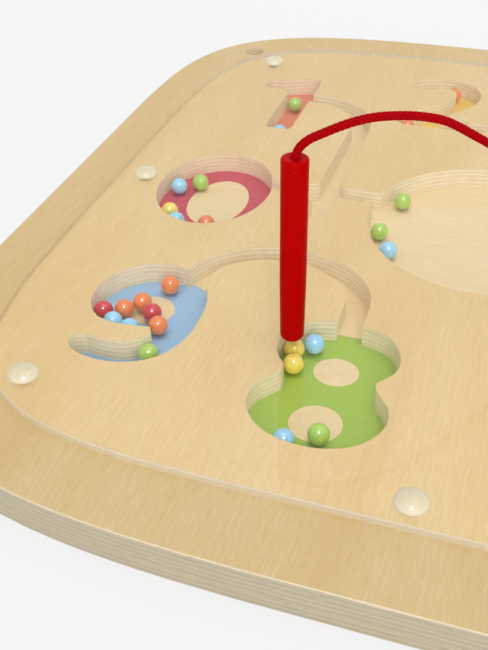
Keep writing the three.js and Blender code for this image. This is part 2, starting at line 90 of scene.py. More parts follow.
def paint(red: int, green: int, blue: int) -> Colour:
    """Turn a colour as it is seen on screen into the linear colour that a shader takes.

    Args:
        red, green, blue: Screen values from 0 to 255.

    Returns:
        Linear red, green, blue and an alpha of 1.
    """
    def linear(value: int) -> float:
        """One channel, by the usual screen curve."""
        share = value / 255
        return share / 12.92 if share <= 0.04045 else ((share + 0.055) / 1.055) ** 2.4
    return (linear(red), linear(green), linear(blue), 1.0)


def toned(colour: Colour, share: float, lift: float = 0.0) -> Colour:
    """Make a linear colour lighter or darker.

    Args:
        colour: The colour to start from.
        share: What each channel is multiplied by.
        lift: What is then added to each.

    Returns:
        The new colour, with an alpha of 1.
    """
    red, green, blue = (min(1.0, part * share + lift) for part in colour[:3])
    return (red, green, blue, 1.0)


# Modelling


def alone(piece: bpy.types.Object) -> None:
    """Make a piece the only selected object and the active one.

    Args:
        piece: Any object of the scene.
    """
    bpy.ops.object.select_all(action="DESELECT")
    piece.select_set(True)
    bpy.context.view_layer.objects.active = piece


@contextmanager
def editing(piece: bpy.types.Object) -> Iterator[None]:
    """Hold a piece in edit mode for the length of a with block.

    Args:
        piece: The mesh object.
    """
    alone(piece)
    bpy.ops.object.mode_set(mode="EDIT")
    yield
    bpy.ops.object.mode_set(mode="OBJECT")


def newest(name: str) -> bpy.types.Object:
    """Name the primitive that was just added.

    Args:
        name: The name of the object and of its mesh.

    Returns:
        The mesh object.
    """
    piece = bpy.context.object
    piece.name = name
    piece.data.name = name
    return piece


def settle(piece: bpy.types.Object) -> None:
    """Move an object's place, turn and scale into its mesh."""
    alone(piece)
    bpy.ops.object.transform_apply(location=True, rotation=True, scale=True)


def modify(piece: bpy.types.Object, kind: str, **settings: Any) -> None:
    """Add a modifier to a piece and apply it.

    Args:
        piece: The mesh object.
        kind: Blender's name of the modifier type.
        settings: The modifier's properties.
    """
    modifier = piece.modifiers.new(kind.lower(), kind)
    for key, value in settings.items():
        setattr(modifier, key, value)
    alone(piece)
    bpy.ops.object.modifier_apply(modifier=modifier.name)


def smooth(piece: bpy.types.Object, degrees: float) -> None:
    """Shade a piece smooth, apart from edges that turn by more than an angle."""
    alone(piece)
    bpy.ops.object.shade_smooth_by_angle(angle=math.radians(degrees))


def copy_of(node: str, name: str) -> bpy.types.Object:
    """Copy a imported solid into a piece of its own, with its loose triangles merged.

    Args:
        node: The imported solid.
        name: The new piece's name.

    Returns:
        The new mesh object, standing where the solid stands.
    """
    piece = bpy.data.objects.new(name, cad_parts[node].data.copy())
    piece.data.name = name
    piece.data.materials.clear()
    bpy.context.collection.objects.link(piece)
    alone(piece)
    bpy.ops.mesh.customdata_custom_splitnormals_clear()
    with editing(piece):
        bpy.ops.mesh.select_all(action="SELECT")
        bpy.ops.mesh.remove_doubles(threshold=WELD)
    return piece


def twin(piece: bpy.types.Object, name: str, offset: Sequence[float]) -> bpy.types.Object:
    """Copy a finished piece, with a mesh of its own, to another place.

    Args:
        piece: The pattern.
        name: The copy's name.
        offset: How far the copy stands from the pattern.

    Returns:
        The copy.
    """
    copy = piece.copy()
    copy.data = piece.data.copy()
    copy.name = name
    copy.data.name = name
    copy.data.transform(Matrix.Translation(offset))
    bpy.context.collection.objects.link(copy)
    return copy


def turn(name: str, rings: Sequence[tuple[float, float]], steps: int,
         bored: bool = False) -> bpy.types.Object:
    """Draw up a turned piece ring by ring, about the Z axis.

    Args:
        name: The piece's name.
        rings: Radius and height of each ring, from the foot on.
        steps: Sides of the piece.
        bored: Whether the last ring is joined to the first, round a bore.

    Returns:
        The closed mesh object.
    """
    bpy.ops.object.select_all(action="DESELECT")
    radius, height = rings[0]
    bpy.ops.mesh.primitive_circle_add(vertices=steps, radius=radius, location=(0, 0, height))
    piece = newest(name)
    settle(piece)
    with editing(piece):
        bpy.ops.mesh.select_all(action="SELECT")
        if not bored:
            bpy.ops.mesh.edge_face_add()
        for next_radius, next_height in rings[1:]:
            bpy.ops.mesh.extrude_region_move(
                TRANSFORM_OT_translate={"value": (0, 0, next_height - height)})
            share = next_radius / radius
            bpy.ops.transform.resize(value=(share, share, 1), center_override=(0, 0, next_height))
            radius, height = next_radius, next_height
        bpy.ops.mesh.select_all(action="SELECT")
        if bored:
            bpy.ops.mesh.remove_doubles(threshold=WELD)
        bpy.ops.mesh.normals_make_consistent(inside=False)
    return piece


def quarter_round(radius: float, out: float, top: float, steps: int) -> list[tuple[float, float]]:
    """Rings of a rounded rim, from its side up to its flat.

    Args:
        radius: Radius of the rounding.
        out: Outer radius of the turned piece.
        top: Height of the flat.
        steps: Rings in the rounding.

    Returns:
        Radius and height of each ring.
    """
    angles = [math.pi / 2 * step / steps for step in range(steps + 1)]
    return [
        (out - radius * (1 - math.cos(angle)), top - radius * (1 - math.sin(angle)))
        for angle in angles
    ]


def place(piece: bpy.types.Object, finish: bpy.types.Material, body: Optional[str], slot: str,
          *nodes: str) -> None:
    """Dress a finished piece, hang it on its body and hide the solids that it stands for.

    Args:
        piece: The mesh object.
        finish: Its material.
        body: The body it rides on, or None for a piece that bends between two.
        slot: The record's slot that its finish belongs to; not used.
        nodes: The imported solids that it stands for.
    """
    piece.data.materials.clear()
    piece.data.materials.append(finish)
    if body is not None:
        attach(piece, body)
    if nodes:
        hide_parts(*nodes)
    LOG.info("%s: %d faces", piece.name, len(piece.data.polygons))


# Finishes


class Shade:
    """A node material while it is put together."""

    def __init__(self, name: str) -> None:
        """Start a material with one Principled shader.

        Args:
            name: The material's name.
        """
        self.material = bpy.data.materials.new(name)
        self.material.use_nodes = True
        self.tree = self.material.node_tree
        self.surface = self.tree.nodes["Principled BSDF"]
        self.place = self.node("TexCoord")

    def fill(self, node: bpy.types.Node, inputs: dict[Any, Any]) -> None:
        """Set a node's sockets to values, or link other sockets to them.

        Args:
            node: The node to fill.
            inputs: Values or sockets by input name or number.
        """
        for socket, value in inputs.items():
            if isinstance(value, bpy.types.NodeSocket):
                self.tree.links.new(value, node.inputs[socket])
            else:
                node.inputs[socket].default_value = value

    def node(self, kind: str, inputs: Optional[dict[Any, Any]] = None, **settings: Any) -> bpy.types.Node:
        """Add a node.

        Args:
            kind: The node's type, without its prefix.
            inputs: Values or sockets by input name or number.
            settings: The node's own properties.

        Returns:
            The new node.
        """
        node = self.tree.nodes.new(f"ShaderNode{kind}")
        for key, value in settings.items():
            setattr(node, key, value)
        self.fill(node, inputs or {})
        return node

    def stretched(self, scale: Point) -> bpy.types.NodeSocket:
        """Object coordinates, drawn out along an axis by a small scale there."""
        return self.node("Mapping", {"Vector": self.place.outputs["Object"], "Scale": scale}).outputs[0]

    def noise(self, vector: bpy.types.NodeSocket, scale: float, detail: float = 3.0,
              distortion: float = 0.0) -> bpy.types.NodeSocket:
        """Cloudy noise from 0 to 1."""
        return self.node("TexNoise", {
            "Vector": vector, "Scale": scale, "Detail": detail, "Distortion": distortion}).outputs[0]

    def math(self, operation: str, *values: Any) -> bpy.types.NodeSocket:
        """One sum on one, two or three numbers."""
        return self.node("Math", dict(enumerate(values)), operation=operation).outputs[0]

    def spread(self, value: bpy.types.NodeSocket, low: float, high: float, to_low: float = 0.0,
               to_high: float = 1.0) -> bpy.types.NodeSocket:
        """Map a stretch of values on another, clamped."""
        return self.node("MapRange", {0: value, 1: low, 2: high, 3: to_low, 4: to_high}).outputs[0]

    def mix(self, share: Any, first: Any, second: Any, blend: str = "MIX") -> bpy.types.NodeSocket:
        """Mix two colours, by the node's colour sockets: inputs 6 and 7, and output 2.

        Args:
            share: How much of the second is seen, from 0 to 1.
            first, second: The colours, as values or sockets.
            blend: Blender's name of the way they mix.

        Returns:
            The mixed colour.
        """
        node = self.node("Mix", data_type="RGBA", blend_type=blend)
        self.fill(node, {0: share, 6: first, 7: second})
        return node.outputs[2]

    def bump(self, height: bpy.types.NodeSocket, strength: float, depth: float) -> bpy.types.NodeSocket:
        """Fine relief."""
        return self.node("Bump", {"Height": height, "Strength": strength, "Distance": depth}).outputs[0]

    def dress(self, inputs: dict[str, Any]) -> bpy.types.Material:
        """Fill the shader's sockets and return the material."""
        self.fill(self.surface, inputs)
        return self.material


class Grain(Enum):
    """The axis that a panel's face veneer runs along."""

    ALONG_X = 0
    ALONG_Y = 1

    def drawn(self, share: float) -> Point:
        """A scale along each axis that draws noise out along the grain."""
        return tuple(share if axis == self.value else 1.0 for axis in range(3))


@dataclass(frozen=True)
class PlyFinish:
    """Sealed birch plywood: veneer on its faces and bands of ply on its cut edges."""

    name: str
    grain: Grain
    veneer: Colour
    veneer_deep: Colour
    band_light: Colour
    band_dark: Colour
    glue: Colour
    fleck: Colour
    underside: float
    ply: float
    wander: float = 0.7 * MM
    figure_draw: float = 0.22
    figure_scale: float = 15.0
    flame_scale: float = 34.0
    streak_draw: float = 0.2
    streak_scale: float = 760.0
    pore_scale: float = 2600.0

    def face(self, shade: Shade) -> tuple[bpy.types.NodeSocket, bpy.types.NodeSocket]:
        """The veneer.

        Args:
            shade: The material to add to.

        Returns:
            The colour and the fibres that it is drawn with.
        """
        along = shade.stretched(self.grain.drawn(FIBRE_DRAW))
        wide = shade.stretched(self.grain.drawn(self.figure_draw))
        fine = shade.stretched(self.grain.drawn(self.streak_draw))
        figure = shade.spread(shade.noise(wide, self.figure_scale, 3.0, 1.2), 0.34, 0.68)
        flame = shade.noise(wide, self.flame_scale, 2.0, 2.2)
        ray = shade.math("ABSOLUTE", shade.math("SUBTRACT", flame, 0.5))
        line = shade.spread(ray, 0.0, 0.02, 0.22, 0.0)
        streak = shade.spread(shade.noise(fine, self.streak_scale, 2.0), 0.38, 0.62, 0.0, 0.42)
        fibre = shade.noise(along, FIBRE_SCALE, 3.0)
        pore = shade.spread(shade.noise(along, self.pore_scale, 1.0), 0.64, 0.76)
        colour = shade.mix(figure, self.veneer, self.veneer_deep)
        colour = shade.mix(line, colour, toned(self.veneer, 1.12))
        colour = shade.mix(streak, colour, self.veneer_deep)
        colour = shade.mix(shade.spread(fibre, 0.3, 0.7, 0.0, 0.16), colour, self.veneer_deep, "MULTIPLY")
        colour = shade.mix(shade.math("MULTIPLY", pore, 0.09), colour, self.glue)
        return colour, fibre

    def edge(self, shade: Shade) -> bpy.types.NodeSocket:
        """The bands of ply on a cut edge.

        Args:
            shade: The material to add to.

        Returns:
            Their colour.
        """
        height = shade.node("SeparateXYZ", {0: shade.place.outputs["Object"]}).outputs["Z"]
        wander = shade.noise(shade.stretched((38.0, 38.0, 60.0)), 1.0, 3.0)
        lifted = shade.math("MULTIPLY_ADD", wander, self.wander, height)
        layer = shade.math("DIVIDE", shade.math("SUBTRACT", lifted, self.underside), self.ply)
        odd = shade.math("PINGPONG", shade.math("FLOOR", layer), 1.0)
        within = shade.math("PINGPONG", shade.math("FRACT", layer), 0.5)
        patch = shade.noise(shade.stretched((90.0, 90.0, 500.0)), 1.0, 2.0)
        starved = shade.spread(patch, 0.35, 0.7, 0.08, 0.45)
        joint = shade.math("MULTIPLY", shade.spread(within, 0.02, 0.12, 1.0, 0.0), starved)
        streak = shade.noise(shade.stretched((120.0, 120.0, 3400.0)), 1.0, 3.0)
        speck = shade.noise(shade.stretched((1.0, 1.0, 1.6)), 1400.0, 2.0)
        colour = shade.mix(odd, self.band_light, self.band_dark)
        colour = shade.mix(shade.spread(streak, 0.52, 0.72, 0.0, 0.75), colour, self.band_light)
        colour = shade.mix(shade.spread(streak, 0.46, 0.28, 0.0, 0.4), colour, self.glue)
        colour = shade.mix(joint, colour, self.glue)
        fleck = shade.math("MULTIPLY", shade.spread(speck, 0.6, 0.74), 0.45)
        return shade.mix(fleck, colour, self.fleck)

    def material(self) -> bpy.types.Material:
        """Veneer where the surface lies flat, bands of ply where it stands.

        Returns:
            The node material.
        """
        shade = Shade(self.name)
        colour, fibre = self.face(shade)
        upright = shade.node("SeparateXYZ", {0: shade.place.outputs["Normal"]}).outputs["Z"]
        flat = shade.spread(shade.math("ABSOLUTE", upright), 0.75, 0.95)
        return shade.dress({
            "Base Color": shade.mix(flat, self.edge(shade), colour),
            "Roughness": shade.spread(fibre, 0.3, 0.7, 0.4, 0.52),
            "Normal": shade.bump(fibre, 0.1, 0.06 * MM),
            "Specular IOR Level": 0.5,
        })


@dataclass(frozen=True)
class PrintFinish:
    """Screen-printed colour on veneer, with the fibres showing faintly through."""

    name: str
    ink: Colour

    def material(self) -> bpy.types.Material:
        """Ink broken by fibres and fine grain.

        Returns:
            The node material.
        """
        shade = Shade(self.name)
        fibre = shade.noise(shade.stretched(Grain.ALONG_X.drawn(FIBRE_DRAW)), FIBRE_SCALE, 3.0)
        grit = shade.noise(shade.place.outputs["Object"], 2400.0, 2.0)
        thin, deep = toned(self.ink, 1.16, 0.012), toned(self.ink, 0.86)
        colour = shade.mix(shade.spread(fibre, 0.35, 0.7, 0.0, 0.45), self.ink, thin)
        colour = shade.mix(shade.spread(grit, 0.4, 0.7, 0.0, 0.4), colour, deep)
        return shade.dress({
            "Base Color": colour,
            "Roughness": shade.spread(grit, 0.3, 0.7, 0.5, 0.62),
            "Normal": shade.bump(grit, 0.08, 0.05 * MM),
        })


@dataclass(frozen=True)
class GlossFinish:
    """Gloss paint or moulded plastic, with a faint unevenness."""

    name: str
    colour: Colour
    roughness: float
    coat: float = 0.0
    shine: float = 0.5
    coat_roughness: float = 0.28
    ripple: float = 420.0
    ripple_depth: float = 0.03 * MM
    mottle: float = 0.94
    painted_rim_glow: Optional[Colour] = None

    def material(self) -> bpy.types.Material:
        """Colour that wavers a little under a gloss of its own, with a painted glow that lightens the
        sloping rim.

        Returns:
            The node material.
        """
        shade = Shade(self.name)
        cloud = shade.noise(shade.place.outputs["Object"], self.ripple, 2.0)
        deep = toned(self.colour, self.mottle)
        colour = shade.mix(shade.spread(cloud, 0.35, 0.65), self.colour, deep)
        # Painted light: the rim is mixed towards a paler colour where it slopes, which lifts its shade.
        if self.painted_rim_glow:
            upright = shade.node("SeparateXYZ", {0: shade.place.outputs["Normal"]}).outputs["Z"]
            colour = shade.mix(shade.spread(upright, 0.97, 0.4), colour, self.painted_rim_glow)
        return shade.dress({
            "Base Color": colour,
            "Roughness": shade.spread(cloud, 0.3, 0.7, self.roughness, self.roughness + 0.06),
            "Normal": shade.bump(cloud, 0.1, self.ripple_depth),
            "Specular IOR Level": self.shine,
            "Coat Weight": self.coat,
            "Coat Roughness": self.coat_roughness,
        })


@dataclass(frozen=True)
class AcrylicFinish:
    """Clear acrylic sheet with a sawn, paler edge."""

    name: str
    tint: Colour
    edge: Colour
    tick: Colour
    body_index: float = 1.02
    gloss: float = 0.35
    gloss_index: float = 1.49

    def material(self) -> bpy.types.Material:
        """Clear through its faces, under a gloss of its own. Its edges are frosted, most of all in front.

        Returns:
            The node material.
        """
        shade = Shade(self.name)
        facing = shade.node("SeparateXYZ", {0: shade.place.outputs["Normal"]}).outputs
        flat = shade.spread(shade.math("ABSOLUTE", facing["Z"]), 0.85, 0.95)
        polish = shade.spread(facing["Y"], -0.35, 0.1, 0.4, 0.92)
        saw = shade.noise(shade.stretched((1.0, 1.0, 0.1)), 520.0, 2.0)
        stretch = shade.spread(shade.noise(shade.place.outputs["Object"], 14.0, 1.0), 0.45, 0.6)
        tick = shade.math("MULTIPLY", shade.spread(saw, 0.5, 0.66), stretch)
        frost = shade.spread(saw, 0.35, 0.65, 0.3, 0.55)
        sawn = shade.mix(tick, self.edge, self.tick)
        return shade.dress({
            "Base Color": shade.mix(flat, sawn, self.tint),
            "Transmission Weight": shade.math("MAXIMUM", flat, polish),
            "Roughness": shade.math("MULTIPLY", shade.math("SUBTRACT", 1.0, flat), frost),
            "IOR": self.body_index,
            "Coat Weight": self.gloss,
            "Coat Roughness": 0.0,
            "Coat IOR": self.gloss_index,
        })


@dataclass(frozen=True)
class SteelFinish:
    """Plated steel with fine scratches."""

    name: str
    colour: Colour
    roughness: float

    def material(self) -> bpy.types.Material:
        """Bright metal, brushed round its axis.

        Returns:
            The node material.
        """
        shade = Shade(self.name)
        brush = shade.noise(shade.stretched((1.0, 1.0, 14.0)), 700.0, 2.0)
        return shade.dress({
            "Base Color": shade.mix(brush, self.colour, toned(self.colour, 0.82)),
            "Metallic": 1.0,
            "Roughness": shade.spread(brush, 0.3, 0.7, self.roughness, self.roughness + 0.12),
        })


@dataclass(frozen=True)
class BraidFinish:
    """Dyed braid with painted shade between its strands, which carry a relief attribute."""

    name: str
    crown: Colour
    groove_shade_and_dark_yarn: Colour
    relief: str = "strand"

    def material(self) -> bpy.types.Material:
        """Colour by the strands' own relief, with painted shade in the grooves and yarn fuzz in the gloss.

        Returns:
            The node material.
        """
        shade = Shade(self.name)
        height = shade.node("Attribute", attribute_name=self.relief).outputs["Fac"]
        yarn = shade.noise(shade.place.outputs["Object"], 3200.0, 2.0)
        # Painted shade: the colour darkens towards the grooves between strands.
        colour = shade.mix(shade.spread(height, 0.15, 0.8), self.groove_shade_and_dark_yarn, self.crown)
        return shade.dress({
            "Base Color": shade.mix(shade.spread(yarn, 0.35, 0.7, 0.0, 0.4), colour, self.groove_shade_and_dark_yarn),
            "Roughness": shade.spread(yarn, 0.3, 0.7, 0.78, 0.92),
            "Normal": shade.bump(yarn, 0.3, 0.1 * MM),
            "Specular IOR Level": 0.06,
        })


# Studio


class Lamp(Enum):
    """What a lamp does: light and shine, light alone, or shine alone."""

    FULL = "full"
    SOFT = "soft"
    GLINT = "glint"


@dataclass
class Studio:
    """Pale floor, soft lights and the camera at the photograph's angle."""

    picture_height: int = 650
    focal_pixels: float = 940.164
    eye: Point = (16.943 * MM, -404.236 * MM, 254.15 * MM)
    pitch: float = math.radians(37.277)
    heading: float = math.radians(19.411)
    roll: float = math.radians(-1.289)
    sensor: float = 36.0
    floor_size: float = 9.0
    backdrop: float = 0.93
    glow: float = 0.78
    sky: float = 0.565
    surround: float = 0.9

    def camera(self) -> None:
        """Stand the camera where the photograph was taken from."""
        data = bpy.data.cameras.new("photo_camera")
        data.sensor_width = self.sensor
        data.lens = self.focal_pixels * self.sensor / self.picture_height
        data.clip_start = 0.01
        camera = bpy.data.objects.new("photo_camera", data)
        bpy.context.collection.objects.link(camera)
        level = Vector((math.cos(self.heading), math.sin(self.heading), 0))
        ahead = Vector((
            -math.sin(self.heading) * math.cos(self.pitch),
            math.cos(self.heading) * math.cos(self.pitch),
            -math.sin(self.pitch),
        ))
        down = ahead.cross(level)
        right = level * math.cos(self.roll) - down * math.sin(self.roll)
        under = level * math.sin(self.roll) + down * math.cos(self.roll)
        turned = Matrix((right, -under, -ahead)).transposed()
        camera.matrix_world = Matrix.Translation(self.eye) @ turned.to_4x4()
        bpy.context.scene.camera = camera

    def lamp(self, name: str, spot: Point, size: float, watts: float, role: Lamp) -> None:
        """Hang a round soft light that faces the middle of the board.

        Args:
            name: The lamp's name.
            spot: Where it hangs.
            size: Its diameter.
            watts: Its power.
            role: Whether it lights the board, shines in its gloss, or both.
        """
        data = bpy.data.lights.new(name, "AREA")
        data.shape = "DISK"
        data.size = size
        data.energy = watts
        lamp = bpy.data.objects.new(name, data)
        lamp.location = spot
        lamp.visible_diffuse = role is not Lamp.GLINT
        lamp.visible_glossy = role is not Lamp.SOFT
        lamp.visible_transmission = role is Lamp.FULL
        lamp.rotation_euler = (-Vector(spot)).to_track_quat("-Z", "Y").to_euler()
        bpy.context.collection.objects.link(lamp)

    def floor(self) -> None:
        """Lay a pale floor that shows the background to the camera and keeps the shadow."""
        bpy.ops.object.select_all(action="DESELECT")
        bpy.ops.mesh.primitive_grid_add(size=self.floor_size, x_subdivisions=4, y_subdivisions=4)
        floor = newest("studio_floor")
        shade = Shade("pale_floor")
        rays = shade.node("LightPath").outputs
        seen = shade.math("MAXIMUM", rays["Is Camera Ray"],
                          shade.math("MAXIMUM", rays["Is Glossy Ray"], rays["Is Transmission Ray"]))
        pale = (self.backdrop, self.backdrop, self.backdrop, 1.0)
        light = shade.node("Emission", {"Color": pale, "Strength": 1.0})
        matt = shade.node("BsdfDiffuse", {"Color": pale})
        both = shade.node("MixShader", {0: shade.math("MULTIPLY", seen, self.glow),
                                        1: matt.outputs[0], 2: light.outputs[0]})
        output = shade.tree.nodes["Material Output"]
        shade.tree.links.new(both.outputs[0], output.inputs["Surface"])
        shade.tree.nodes.remove(shade.surface)
        floor.data.materials.append(shade.material)
        floor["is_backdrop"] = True

    def light(self) -> None:
        """Light the board softly from all round, with a key overhead, two fills and a glint.

        Mirrored rays see a brighter surround. A ray that comes through the clear sheet can count as
        mirrored too, so such rays are taken off.
        """
        world = bpy.data.worlds.new("studio")
        world.use_nodes = True
        tree = world.node_tree
        rays = tree.nodes.new("ShaderNodeLightPath")
        strength = tree.nodes.new("ShaderNodeMapRange")
        strength.inputs["To Min"].default_value = self.sky
        strength.inputs["To Max"].default_value = self.surround
        background = tree.nodes["Background"]
        background.inputs["Color"].default_value = (1, 1, 1, 1)
        mirrored = tree.nodes.new("ShaderNodeMath")
        mirrored.operation = "SUBTRACT"
        tree.links.new(rays.outputs["Is Glossy Ray"], mirrored.inputs[0])
        tree.links.new(rays.outputs["Is Transmission Ray"], mirrored.inputs[1])
        tree.links.new(mirrored.outputs[0], strength.inputs["Value"])
        tree.links.new(strength.outputs["Result"], background.inputs["Strength"])
        bpy.context.scene.world = world
        self.lamp("key", (0.12, 0.0, 2.0), 1.6, 9.0, Lamp.FULL)
        self.lamp("front_fill", (1.3, -2.95, 1.7), 2.4, 48.0, Lamp.SOFT)
        self.lamp("back_fill", (-0.1, 0.8, 0.75), 1.0, 1.7, Lamp.SOFT)
        self.lamp("glint", (0.28, -1.09, 1.7), 0.3, 24.0, Lamp.GLINT)

    def build(self) -> None:
        """Set up everything that isn't part of the board."""
        self.camera()
        self.floor()
        self.light()
        bpy.context.scene.view_settings.view_transform = "Standard"


# The board's own parts


@dataclass
class Tether:
    """Braided cord from the wand's top, over in an arch, along the cover and into the rim.

    The route is in millimetres.
    """

    finish: BraidFinish
    diameter: float = 3.4 * MM
    strands: int = 8
    stitch: float = 2.0 * MM
    relief: float = 0.3 * MM
    dip: float = 0.6
    sides: int = 48
    ring_step: float = 0.22 * MM
    route: tuple[Point, ...] = (
        (-64.7, -114.2, 91), (-64.7, -114.2, 95.2), (-64.7, -114.2, 98.1), (-63.6, -113.5, 102.5),
        (-60.7, -111.6, 105.4), (-56, -109.4, 107.6), (-51.3, -106.6, 109.3), (-46.6, -103.8, 110.6),
        (-40.5, -100, 111.4), (-32.2, -94.8, 110.9), (-24.6, -89.8, 109.3), (-16.8, -84.7, 106.3),
        (-5.7, -77.5, 98.3), (6, -70, 88.7), (18, -62.4, 75.7), (30, -54.6, 61.2), (42, -46.8, 46.7),
        (54, -39, 34.2), (66, -31.4, 25.4), (78, -24, 21.8), (92, -16.4, 20.8), (108, -8, 20.8),
        (124, 2, 20.8), (139, 14.5, 20.8), (153, 28.5, 20.8), (167, 42, 20.8), (180, 52, 21.2),
        (191, 57.6, 22.6), (199, 59.7, 22.8), (203.6, 60, 19.4), (205, 60, 14.4), (205, 60, 8),
    )

    def line(self) -> list[Vector]:
        """The cord's centre line, a smooth curve through the route.

        Returns:
            Points at even steps, from the wand on.
        """
        points = [Vector(point) * MM for point in self.route]
        points = [2 * points[0] - points[1], *points, 2 * points[-1] - points[-2]]
        dense = []
        for index in range(len(points) - 3):
            dense += self.bow(*points[index:index + 4])
        dense.append(points[-2])
        even = [dense[0]]
        spare = 0.0
        for start, end in zip(dense, dense[1:]):
            run = (end - start).length
            ahead = self.ring_step - spare
            while ahead <= run:
                even.append(start.lerp(end, ahead / run))
                ahead += self.ring_step
            spare = run - (ahead - self.ring_step)
        even.append(dense[-1])
        return even

    @staticmethod
    def bow(before: Vector, start: Vector, end: Vector, after: Vector, steps: int = 40) -> list[Vector]:
        """One centripetal stretch between two points of the route.

        Args:
            before, start, end, after: Four points in a row.
            steps: Points along the stretch, without its end.

        Returns:
            The points from start up to end.
        """
        knots = [0.0]
        for first, second in ((before, start), (start, end), (end, after)):
            knots.append(knots[-1] + (second - first).length ** 0.5)

        def between(first: Vector, second: Vector, low: float, high: float, at: float) -> Vector:
            """A point on the line through two knots."""
            return first.lerp(second, (at - low) / (high - low))

        points = []
        for step in range(steps):
            at = knots[1] + (knots[2] - knots[1]) * step / steps
            one = between(before, start, knots[0], knots[1], at)
            two = between(start, end, knots[1], knots[2], at)
            three = between(end, after, knots[2], knots[3], at)
            left = between(one, two, knots[0], knots[2], at)
            right = between(two, three, knots[1], knots[3], at)
            points.append(between(left, right, knots[1], knots[2], at))
        return points

    def weave(self, angle: float, along: float) -> float:
        """How far the braid stands up at a place on it, from 0 to 1.

        Args:
            angle: Place round the cord.
            along: Place along the cord.

        Returns:
            The height of the strand that passes over two others there, round across, sunk at its ends.
        """
        around = angle * self.strands / (2 * math.pi)
        onward = along / self.stitch
        left, right = around + onward, around - onward
        step = (math.floor(left) + math.floor(right)) % 4
        over, under = (left, right) if step < 2 else (right, left)
        crown = 1 - (2 * (over % 1.0) - 1) ** 2
        onto = (step % 2 + under % 1.0) / 2
        return crown * (1 - self.dip * (2 * onto - 1) ** 4)

    def build(self) -> None:
        """Braid the cord round its line and dress it."""
        line = self.line()
        across = Vector((1, 0, 0))
        corners: list[Vector] = []
        heights: list[float] = []
        for index, point in enumerate(line):
            ahead = (line[min(index + 1, len(line) - 1)] - line[max(index - 1, 0)]).normalized()
            across = (across - ahead * across.dot(ahead)).normalized()
            over = ahead.cross(across)
            for side in range(self.sides):
                angle = 2 * math.pi * side / self.sides
                height = self.weave(angle, index * self.ring_step)
                reach = self.diameter / 2 - self.relief * (1 - height)
                corners.append(point + (across * math.cos(angle) + over * math.sin(angle)) * reach)
                heights.append(height)
        count = self.sides
        faces = [
            (ring * count + side, ring * count + (side + 1) % count,
             (ring + 1) * count + (side + 1) % count, (ring + 1) * count + side)
            for ring in range(len(line) - 1) for side in range(count)
        ]
        faces += [tuple(reversed(range(count))), tuple(range(len(corners) - count, len(corners)))]
        mesh = bpy.data.meshes.new("braided_cord")
        mesh.from_pydata(corners, [], faces)
        # The strands' heights also drive the braid's painted shade in its grooves.
        strand = mesh.attributes.new(self.finish.relief, "FLOAT", "POINT")
        strand.data.foreach_set("value", heights)
        cord = bpy.data.objects.new("braided_cord", mesh)
        bpy.context.collection.objects.link(cord)
        smooth(cord, degrees=80)
        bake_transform(cord)
        place(cord, self.finish.material(), None, "cord_red", "tether_cord")


@dataclass
class Panels:
    """The two plywood panels, with the numbers printed on the lower one."""

    upper: PlyFinish
    # A darker copy of the ply: painted shade for the outer edge.
    rim: PlyFinish
    lower: PlyFinish
    flatness: float = math.radians(0.4)
    sharp: float = math.radians(50)
    arris: float = 0.22 * MM
    arris_steps: int = 2
    crease: float = 32.0
    flat_weight: int = 90
    squareness: tuple[float, float] = (3.7, 5.7)
    rim_from: float = 0.93
    upright: float = 0.5

    def panel(self, node: str, name: str) -> bpy.types.Object:
        """Copy a panel and break the sharp edges of its cuts.

        Args:
            node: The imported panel.
            name: The piece's name.

        Returns:
            The mesh object.
        """
        panel = copy_of(node, name)
        with editing(panel):
            bpy.ops.mesh.select_all(action="SELECT")
            bpy.ops.mesh.dissolve_limited(angle_limit=self.flatness)
            bpy.ops.mesh.select_all(action="DESELECT")
            bpy.ops.mesh.edges_select_sharp(sharpness=self.sharp)
            bpy.ops.mesh.bevel(
                offset=self.arris, segments=self.arris_steps, affect="EDGES", clamp_overlap=True)
        smooth(panel, self.crease)
        modify(panel, "WEIGHTED_NORMAL", weight=self.flat_weight, keep_sharp=True)
        return panel

    def edge(self, panel: bpy.types.Object) -> None:
        """Give the upright faces of a panel's outer edge the rim's finish, a darker copy of the ply that
        paints shade there.

        Args:
            panel: The dressed panel.
        """
        panel.data.materials.append(self.rim.material())
        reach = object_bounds()[1]
        for face in panel.data.polygons:
            out = sum((abs(face.center[axis]) / reach[axis]) ** power
                      for axis, power in enumerate(self.squareness))
            face.material_index = int(out > self.rim_from and abs(face.normal.z) < self.upright)

    def build(self) -> None:
        """Make and dress both panels."""
        routed = self.panel("maze_panel", "routed_panel")
        place(routed, self.upper.material(), BOARD, "maze_ply", "maze_panel")
        self.edge(routed)
        back = self.panel("base_panel", "back_panel")
        place(back, self.lower.material(), BOARD, "base_ply", "base_panel")


@dataclass(frozen=True)
class NumberPrint:
    """A number's colour on the lower panel: a field under its pocket, with bare counters.

    Where the colour ends on a slant in a lane's mouth, the mouth gives two points of that line,
    with the number on the right hand of the way from the first to the second. Places and radii
    are in millimetres.
    """

    name: str
    ink: Colour
    low: tuple[float, float]
    high: tuple[float, float]
    counters: tuple[tuple[float, float, float, float], ...] = ()
    mouth: tuple[tuple[float, float], ...] = ()


